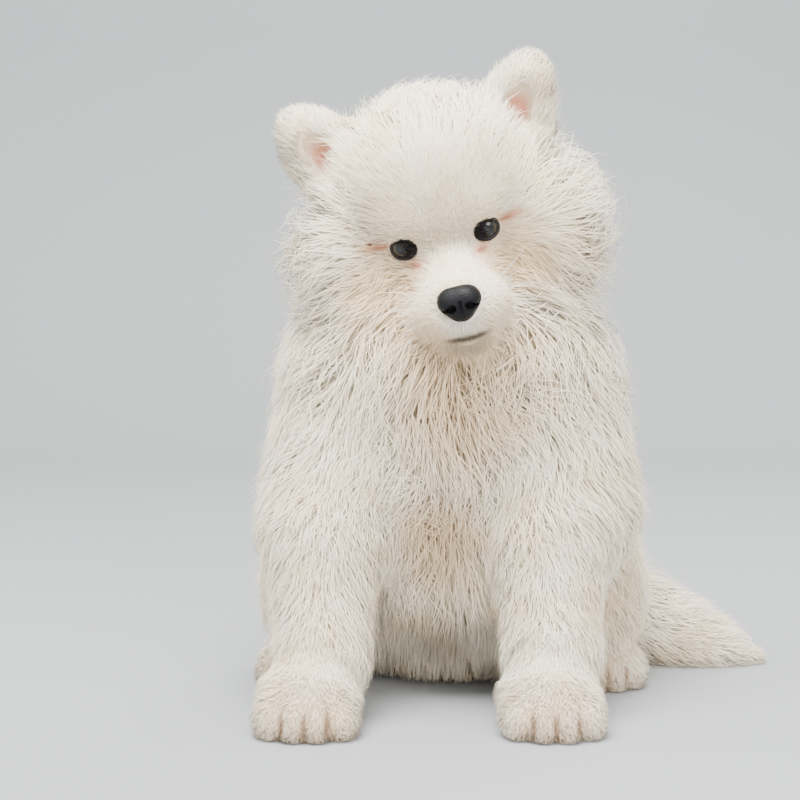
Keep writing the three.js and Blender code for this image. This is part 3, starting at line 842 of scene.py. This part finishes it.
a, b, c = (skin_points[triangles[:, i]] for i in range(3))
area = np.linalg.norm(np.cross(b - a, c - a), axis=1) / 2
middle = (a + b + c) / 3
room = -level(middle, 1.0)
length, width = tuft_size(middle, np.clip(room, LEAST_ROOM, MOST_ROOM))
weight = area * bareness(middle) / (length * width)
weight *= 1 / (1 + 0.5 * smoothstep(20 - length, 0, 12))  # short coats lie flatter
chosen = draw.choice(len(triangles), TUFTS, p=weight / weight.sum())
u, v = draw.random((2, TUFTS))
flip = u + v > 1
u[flip], v[flip] = 1 - u[flip], 1 - v[flip]
roots = a[chosen] + u[:, None] * (b - a)[chosen] + v[:, None] * (c - a)[chosen]
room = np.clip(-level(roots, 1.0), LEAST_ROOM, MOST_ROOM)
length, width = tuft_size(roots, room)
length *= draw.uniform(0.7, 1.25, TUFTS)
width *= draw.uniform(0.8, 1.2, TUFTS)
print("skin area, m2:", round(area.sum() * 1e-6, 3), "room:", np.percentile(room, [5, 50, 95]))
print("tufts:", TUFTS, "short ones:", int((length < SHORT).sum()))


# %% [markdown]
# ## How a tuft bends
# From its root a tuft climbs through the levels of the coat while it runs along the lie, so that
# it hugs the body and its tip ends near the coat's outline. A slow drift of the lie makes the
# coat part and swirl, and tips that are drawn together to a neighbour's give it locks.

# %% How far short tufts stand off
FUZZ = {"head": 3.2, "paw": 4.4, "ear": 5.4, "tail": 6.0}  # millimetres at their tips


def fuzz(p):
    room = np.clip(-level(p, 1.0), 0, 60)
    stand = FUZZ["head"] * smoothstep(room, 9, 2)
    for name, part in parts.items():
        if name in ears or name.endswith("_paw"):
            tall = FUZZ["ear" if name in ears else "paw"]
            reach = part.field(p, np.full(len(p), SKIN_SHARE))
            stand = np.maximum(stand, tall * smoothstep(reach, 8, 2) * smoothstep(room, 14, 5))
    reach = parts["tail"].field(p, np.full(len(p), SKIN_SHARE))
    stand = np.maximum(stand, FUZZ["tail"] * smoothstep(reach, 8, 2))
    return stand


# %% Paths of the tufts
STATIONS = ((0.34, 0.5), (0.68, 0.84), (1.0, 1.0))  # place along a tuft, and how far it has risen
ROOT_SINK = 1.5
DRIFT = [(52, 0.34), (19, 0.26), (8, 0.16)]  # size and strength of the coat's swirls
DOWNWARD = np.array([0, 0, -1.2])


def drift(p):
    total = np.zeros_like(p)
    waves = np.random.default_rng(7)
    for size, strength in DRIFT:
        for _ in range(6):
            wave = unit(waves.normal(size=3)) * 2 * pi / size
            sway = np.sin(p @ wave + waves.uniform(0, 6))[:, None]
            total += strength / 1.7 * sway * unit(waves.normal(size=3))
    return total


def grow(roots, length, tip_share):
    normal = outward(roots, SKIN_SHARE)
    path = [roots - ROOT_SINK * normal]
    normals = [normal]
    at = roots
    before = 0.0
    swirl = drift(roots) * np.clip(length / 34, 0.35, 1.3)[:, None]
    swirl += draw.normal(size=roots.shape) * 0.3
    stand = fuzz(roots) * draw.uniform(0.4, 1.3, len(roots))
    # Under the belly, between the legs, the coat hangs free as a fringe
    hang = smoothstep(-normal[:, 2], 0.0, 0.5) * smoothstep(roots[:, 2], 75, 55)
    hang = (hang * smoothstep(np.abs(roots[:, 0] - 8), 50, 38))[:, None]
    for place, rise in STATIONS:
        lie = unit(lie_at(at) + swirl)
        lie = unit(lie - (lie * normal).sum(1, keepdims=True) * normal)
        lie = unit(lie * (1 - hang) + DOWNWARD * hang)
        at = at + lie * ((place - before) * length)[:, None] * (1 - 0.35 * hang)
        share = SKIN_SHARE + (tip_share - SKIN_SHARE) * rise
        normal = outward(at, share)
        away = np.clip(level(at, share), -14, 14) - stand * place
        at = at - normal * away[:, None] * (1 - hang)
        path.append(at)
        normals.append(normal)
        before = place
    return np.stack(path, 1), np.stack(normals, 1)


# %% Undercoat and guard hairs
UNDERCOAT, GUARD_HAIRS = 0.25, 0.1  # how many tufts are one or the other

lot = draw.random(TUFTS)
under = lot < UNDERCOAT
tip_share = np.where(under, draw.uniform(0.5, 0.74, TUFTS), draw.uniform(0.82, 1.0, TUFTS))
width[under] *= 1.7
guard = (lot > 1 - GUARD_HAIRS) & (length > 16)
tip_share[guard] += 0.2
width[guard] *= 0.6
for near in on_paws(roots):
    tip_share = SKIN_SHARE + (tip_share - SKIN_SHARE) * (1 - 0.5 * near)
paths, path_normals = grow(roots, length, tip_share)

# %% Locks
GUIDES = 7500
BACK, DRAWN_IN = 148, 0.75  # how far the coat is drawn in behind the rump
guides = draw.choice(TUFTS, GUIDES, replace=False)
tree = kdtree.KDTree(GUIDES)
for i, g in enumerate(guides):
    tree.insert(roots[g], i)
tree.balance()
nearest = guides[[tree.find(p)[1] for p in roots]]
pull = draw.uniform(0.0, 0.5, TUFTS)[nearest] * smoothstep(length, 4, 16)
for k, (place, _) in enumerate(STATIONS, start=1):
    share = (pull * place**1.3)[:, None]
    aim = paths[nearest, k] + (paths[:, 0] - paths[nearest, 0]) * (1 - 0.75 * place)
    paths[:, k] += share * (aim - paths[:, k])
    paths[:, k] += draw.normal(size=(TUFTS, 3)) * (0.035 * place * length)[:, None]
paths[:, :, 2] = np.maximum(paths[:, :, 2], 0.7 + 0.5 * draw.random((TUFTS, 1)))
paths[:, :, 1] -= DRAWN_IN * np.maximum(paths[:, :, 1] - BACK, 0)
tone = draw.normal(size=TUFTS) * 0.12  # at random, some tufts take more of the painted shade of the roots
print("locks:", GUIDES)


# %% [markdown]
# ## The coat as mesh
# Each tuft is written as rings of three corners and a tip. The coat is divided by the part of
# the body that it grows on and kept in pieces small enough to handle. The map OFBake places each
# tuft as a small patch at its root's place on an unwrap of the skin: every part of the body has
# its own tile, wrapped round its middle.

# %% Tiles of the unwrap
BIG_TILES = {"trunk": (0.0, 0.0, 0.5, 0.5), "head": (0.5, 0.0, 0.5, 0.5)}
PATCH = 0.003
names = list(parts)
tiles = dict(BIG_TILES)
for i, name in enumerate(n for n in names if n not in BIG_TILES):
    tiles[name] = (0.2 * (i % 5), 0.5 + (i // 5) / 6, 0.2, 1 / 6)


def nearest_part(p):
    found = np.full((len(p), len(names)), 1e3)
    for i, name in enumerate(names):
        near = parts[name].near(p)
        if near.any():
            found[near, i] = parts[name].field(p[near], np.full(near.sum(), SKIN_SHARE))
    return found.argmin(1)


def unwrap(p, part_of):
    uv = np.zeros((len(p), 2))
    for i, name in enumerate(names):
        mine = part_of == i
        if not mine.any():
            continue
        part = parts[name]
        q = unit(part.to_local(p[mine]) - part.to_local(part.middle[None]))
        x, y, w, h = tiles[name]
        turn = (np.arctan2(q[:, 0], -q[:, 1]) / (2 * pi) + 0.5) % 1
        rise = np.arccos(np.clip(q[:, 2], -1, 1)) / pi
        uv[mine] = np.stack([x + w * (0.02 + 0.94 * turn), y + h * (0.02 + 0.94 * rise)], 1)
    return uv


part_of = nearest_part(roots)
root_uv = unwrap(roots, part_of)

# %% Writing the tufts
RING_WIDTH = np.array([1.0, 0.95, 0.62])
THICKNESS = 0.4
SOFTNESS = 1.3  # how far a tuft is shaded as part of the coat rather than as a blade


def write_tufts(name, which, rings):
    count = len(which)
    stops = [0, 1, 2, 3] if rings == 3 else [0, 2, 3]
    path, normals = paths[which][:, stops], path_normals[which][:, stops]
    ahead = unit(np.diff(path, axis=1))
    corners, shading = [], []
    for k in range(rings):
        normal = normals[:, k]
        side = unit(np.cross(normal, ahead[:, k]))
        up = np.cross(ahead[:, k], side)
        half = (width[which] * RING_WIDTH[k * (2 if rings == 2 else 1)] / 2)[:, None]
        corners += [
            path[:, k] + up * half * 2 * THICKNESS,
            path[:, k] + side * half,
            path[:, k] - side * half,
        ]
        shading += [unit(face + SOFTNESS * normal) for face in (up, side, -side)]
    points = np.stack([*corners, path[:, -1]], 1)
    shading = np.stack([*shading, normals[:, -1]], 1)
    tip = 3 * rings
    faces = [[0, 1, 2]]
    for k in range(rings - 1):
        for i in range(3):
            p, q = 3 * k + i, 3 * k + (i + 1) % 3
            faces += [[p, p + 3, q], [q, p + 3, q + 3]]
    faces += [[tip - 3 + i, tip, tip - 3 + (i + 1) % 3] for i in range(3)]
    faces = np.array(faces)
    all_faces = (faces[None] + (tip + 1) * np.arange(count)[:, None, None]).reshape(-1, 3)
    obj = mesh_object(name, points.reshape(-1, 3), [all_faces])
    mesh = obj.data
    place = [0.0, *[s[0] for s in STATIONS]]
    along = np.repeat([place[k] for k in stops[:-1]], 3).tolist() + [1.0]
    # along runs from 0 at the root to 1 at the tip; low values get the painted shade of the roots
    attribute = mesh.attributes.new("along", "FLOAT", "POINT")
    values = np.tile(along, count) - np.repeat(np.abs(tone[which]), tip + 1)
    attribute.data.foreach_set("value", values.astype(np.float32))
    spread = np.array([[(i % 3) / 2 - 0.5, along[i] - 0.5] for i in range(tip)] + [[0.0, 0.5]])
    uv = (root_uv[which][:, None] + PATCH * spread[None]).reshape(-1, 2)
    mesh.normals_split_custom_set_from_vertices(shading.reshape(-1, 3))
    layer = mesh.uv_layers.new(name="OFBake")
    layer.uv.foreach_set("vector", uv[all_faces.ravel()].astype(np.float32).ravel())
    mesh.materials.append(coat_material)
    return obj


# %% Pieces of the coat
REGIONS = {
    "head": ["head"],
    "ears": ["ear_left", "ear_right"],
    "body": ["trunk"],
    "forelegs": ["foreleg_left", "foreleg_right"],
    "paws": [n for n in names if n.endswith(("_paw", "_hock"))],
    "hindlegs": ["hindleg_left", "hindleg_right"],
    "tail": ["tail"],
}
LARGEST = 190000  # triangles in one piece
coat_triangles = 0
for region, members in REGIONS.items():
    mine = np.flatnonzero(np.isin(part_of, [names.index(n) for n in members]))
    mine = mine[np.argsort(roots[mine, 1])]
    for kind, rings, per_tuft in (("long", 3, 16), ("short", 2, 10)):
        group = mine[(length[mine] < SHORT) == (kind == "short")]
        most = LARGEST // per_tuft
        for i in range(0, len(group), most):
            label = f"coat_{region}_{kind}_{i // most + 1}"
            obj = write_tufts(label, group[i : i + most], rings)
            coat_triangles += len(obj.data.polygons)
            print(label, len(obj.data.polygons))
print("coat triangles:", coat_triangles)

# %% [markdown]
# ## Eyes
# A puppy's eye is nearly black, with a slightly browner ring that shows only in strong light. A
# smooth clear coat gives the bright spark that brings the face to life.

# %% Eyes
eye_material, eye_tree, eye_shader = new_material(
    "eye", 0.15, Coat_Weight=0.7, Coat_Roughness=0.02, Specular_IOR_Level=0.15
)
eye_place = node(eye_tree, "ShaderNodeTexCoord").outputs["Object"]


def eyeball(name, side, node_name):
    bpy.ops.mesh.primitive_uv_sphere_add(segments=48, ring_count=32, radius=1)
    obj = bpy.context.object
    obj.name = obj.data.name = name
    centre = parts["head"].to_world(np.array([side * EYE_SPREAD, EYE_Y, EYE_Z]))
    points = np.array([v.co for v in obj.data.vertices])
    points = points @ turn_x(radians(90)).T
    bulge = np.where(points[:, 1] < -0.8, 1.05, 1.0)[:, None]
    points = to_row(points * bulge * EYE_RADIUS @ HEAD_TURN.T + centre)
    obj.data.vertices.foreach_set("co", points.astype(np.float32).ravel())
    obj.data.polygons.foreach_set("use_smooth", np.full(len(obj.data.polygons), True))
    obj.data.materials.append(eye_material)
    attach(obj, "root")
    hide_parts(node_name)
    return to_row(centre)


eye_centres = [eyeball("left_eyeball", 1, "eye_left"), eyeball("right_eyeball", -1, "eye_right")]
gaze = HEAD_TURN @ np.array([0, -1.0, 0])
outlook = None
for centre in eye_centres:
    here = vector(eye_tree, "SUBTRACT", eye_place, tuple(centre))
    near = vector(eye_tree, "LENGTH", here)
    facing = vector(eye_tree, "DOT_PRODUCT", vector(eye_tree, "NORMALIZE", here), tuple(gaze))
    mine = ramp(eye_tree, near, 0.02, 0.015)
    value = calculate(eye_tree, "MULTIPLY", facing, mine)
    outlook = value if outlook is None else calculate(eye_tree, "ADD", outlook, value)
iris = calculate(
    eye_tree, "MULTIPLY", ramp(eye_tree, outlook, 0.70, 0.80), ramp(eye_tree, outlook, 0.93, 0.88)
)
eye_tree.links.new(
    mixed(eye_tree, iris, (0.003, 0.003, 0.003), (0.0045, 0.004, 0.0035)),
    eye_shader.inputs["Base Color"],
)
print("eyes at", [np.round(c, 4).tolist() for c in eye_centres])

# %% [markdown]
# ## Nose
# The nose leather is black, with a pebbled surface, comma-shaped nostrils and a groove down the
# middle. It is drawn from a field as the skin is, on a finer grid.

# %% Nose
def nose_field(p):
    q = parts["head"].to_local(p)
    d = egg(q, [0, NOSE_Y, NOSE_Z + 2], [13, 9, 9])
    d = melt(d, egg(q, [0, NOSE_Y + 1, NOSE_Z - 4], [9, 9, 8]), 4)
    for side in (1, -1):
        d = melt(d, egg(q, [side * 6, NOSE_Y, NOSE_Z + 2.5], [7.4, 8.8, 7.4]), 3)
        turned = (q - [side * 6.0, NOSE_Y - 7.4, NOSE_Z - 0.5]) @ turn_y(radians(side * 30))
        d = -melt(-d, egg(turned, [0, 0, 0], [3.4, 4.5, 2.5]), 1)
        slit = (q - [side * 10.2, NOSE_Y - 4.5, NOSE_Z - 1.6]) @ turn_y(radians(side * 22))
        d = -melt(-d, egg(slit, [0, 0, 0], [3.2, 3.4, 0.9]), 1)
    groove = np.array([[0, NOSE_Y - 8.4, NOSE_Z + 3], [0, NOSE_Y - 8, NOSE_Z - 11.0]])
    return -melt(-d, along_line(q, groove, 0.7), 1.2)


nose_middle = parts["head"].to_world(np.array([0, NOSE_Y, NOSE_Z], float))
nose_points, nose_faces = surface(nose_field, nose_middle - 20, nose_middle + 20, 0.5)
nose = mesh_object("nose_leather", nose_points, nose_faces)
nose_material, nose_tree, nose_shader = new_material("nose", 0.38, Specular_IOR_Level=0.12)
nose_place = node(nose_tree, "ShaderNodeTexCoord").outputs["Object"]
pebbles = node(nose_tree, "ShaderNodeTexVoronoi", {"Vector": nose_place, "Scale": 900})
relief = node(
    nose_tree,
    "ShaderNodeBump",
    {"Height": pebbles.outputs["Distance"], "Strength": 0.5, "Distance": 0.0004},
)
nose_tree.links.new(relief.outputs["Normal"], nose_shader.inputs["Normal"])
worn = node(nose_tree, "ShaderNodeTexNoise", {"Vector": nose_place, "Scale": 140, "Detail": 2})
nose_tree.links.new(
    mixed(nose_tree, worn.outputs["Fac"], (0.003, 0.003, 0.004), (0.009, 0.009, 0.010)),
    nose_shader.inputs["Base Color"],
)
nose_tree.links.new(
    ramp(nose_tree, worn.outputs["Fac"], -0.4, 1.4), nose_shader.inputs["Roughness"]
)
nose.data.materials.append(nose_material)
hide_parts("nose")
print("nose:", len(nose_points), "points")

# %% [markdown]
# ## Claws and whiskers
# Small pale claws show between the hairs at the front of each toe. Whiskers are long, single,
# tapered hairs in rows on the pads beside the nose.

# %% Claws
def curved_cone(start, heading, up, length, radius, bend, sides=6, rings=5):
    """Corners and faces of a cone that curves downward, closed at its base."""
    side = unit(np.cross(up, heading))
    points, faces = [], []
    for k in range(rings):
        t = k / rings
        centre = start + heading * length * t - up * bend * t * t
        for i in range(sides):
            angle = 2 * pi * i / sides
            spread = side * cos(angle) * 0.8 + up * sin(angle)
            points.append(centre + spread * radius * (1 - t) ** 0.7)
    points.append(start + heading * length - up * bend)
    tip = len(points) - 1
    for k in range(rings - 1):
        for i in range(sides):
            p, q = k * sides + i, k * sides + (i + 1) % sides
            faces += [[p, p + sides, q], [q, p + sides, q + sides]]
    last = (rings - 1) * sides
    faces += [[last + i, tip, last + (i + 1) % sides] for i in range(sides)]
    faces += [[0, i, i + 1] for i in range(1, sides - 1)]
    return np.array(points), np.array(faces)


def many(name, shapes, material):
    points, faces, count = [], [], 0
    for shape_points, shape_faces in shapes:
        points.append(shape_points)
        faces.append(shape_faces + count)
        count += len(shape_points)
    obj = mesh_object(name, np.concatenate(points), [np.concatenate(faces)])
    obj.data.materials.append(material)
    return obj


claw_shapes = []
for origin, basis, centre in toes:
    heading = basis @ unit(np.array([0, -1, -0.32]))
    start = basis @ (centre + [0, -8.5, -1.5]) + origin
    claw_shapes.append(curved_cone(start, heading, np.array([0, 0, 1.0]), 9.5, 2.1, 1.4))
claw_material, claw_tree, claw_shader = new_material("claw", 0.35, Specular_IOR_Level=0.5)
claw_place = node(claw_tree, "ShaderNodeTexCoord").outputs["Object"]
horn = node(claw_tree, "ShaderNodeTexNoise", {"Vector": claw_place, "Scale": 260, "Detail": 3})
claw_tree.links.new(
    mixed(claw_tree, horn.outputs["Fac"], (0.42, 0.27, 0.20), (0.72, 0.58, 0.47)),
    claw_shader.inputs["Base Color"],
)
claws = many("claws", claw_shapes, claw_material)
print("claws:", len(claw_shapes))

# %% Whiskers
whisker_shapes = []
for side in (1, -1):
    for row in range(4):
        for column in range(3):
            q = np.array([side * (17 + 3.2 * column), -88 + 7 * column, -60 + 4.2 * row])
            start = parts["head"].to_world(q)
            heading = np.array([side * (0.9 - 0.1 * row), -0.15 + 0.2 * column, -0.35 + 0.2 * row])
            heading = HEAD_TURN @ unit(heading + 0.12 * draw.normal(size=3))
            droop = HEAD_TURN @ np.array([0, 0, 1.0])
            long = draw.uniform(24, 40)
            bend = draw.uniform(1, 6)
            whisker_shapes.append(
                curved_cone(start, heading, droop, long, 0.26, bend, sides=3, rings=6)
            )
whisker_material, whisker_tree, whisker_shader = new_material("whisker", 0.3)
whisker_place = node(whisker_tree, "ShaderNodeTexCoord").outputs["Object"]
bands = node(whisker_tree, "ShaderNodeTexNoise", {"Vector": whisker_place, "Scale": 90})
whisker_tree.links.new(
    mixed(whisker_tree, bands.outputs["Fac"], (0.80, 0.77, 0.72), (0.93, 0.92, 0.90)),
    whisker_shader.inputs["Base Color"],
)
whiskers = many("whiskers", whisker_shapes, whisker_material)
print("whiskers:", len(whisker_shapes))

# %% [markdown]
# ## Floor, backdrop and light
# The stage is a plain pale sweep: a floor that curves up into the wall. The light is that of an
# overcast day, from above and in front, with a soft fill all round.

# %% Sweep
sweep_line = [(-3.0, 0.0)]
sweep_line += [(1.3 + 0.7 * sin(t), 0.7 - 0.7 * cos(t)) for t in np.linspace(0, pi / 2, 14)]
sweep_line.append((2.0, 3.2))
sweep = bpy.data.meshes.new("sweep")
sweep.from_pydata(
    [(x, y, z) for y, z in sweep_line for x in (-4, 4)],
    [],
    [(2 * i, 2 * i + 1, 2 * i + 3, 2 * i + 2) for i in range(len(sweep_line) - 1)],
)
sweep.polygons.foreach_set("use_smooth", np.full(len(sweep.polygons), True))
floor = bpy.data.objects.new("sweep", sweep)
bpy.context.scene.collection.objects.link(floor)
floor_material, floor_tree, floor_shader = new_material("pale_floor", 0.8)
floor_shader.inputs["Base Color"].default_value = (0.30, 0.31, 0.32, 1)
sweep.materials.append(floor_material)


# %% Lights
def soft_light(name, place, aim, size, power):
    data = bpy.data.lights.new(name, "AREA")
    data.shape = "DISK"
    data.size = size
    data.energy = power
    obj = bpy.data.objects.new(name, data)
    obj.location = place
    obj.rotation_euler = (Vector(aim) - Vector(place)).to_track_quat("-Z", "Y").to_euler()
    bpy.context.scene.collection.objects.link(obj)


soft_light("sky", (-0.4, -0.8, 2.2), (0, 0, 0.2), 1.6, 205)
soft_light("front", (0.7, -2.1, 1.1), (0, 0, 0.25), 1.4, 48)
soft_light("behind", (0.9, 1.3, 1.5), (0, 0, 0.3), 1.0, 22)
world = bpy.data.worlds.new("overcast")
bpy.context.scene.world = world
world.use_nodes = True
world.node_tree.nodes["Background"].inputs["Color"].default_value = (1.0, 0.99, 0.97, 1)
world.node_tree.nodes["Background"].inputs["Strength"].default_value = 1.6
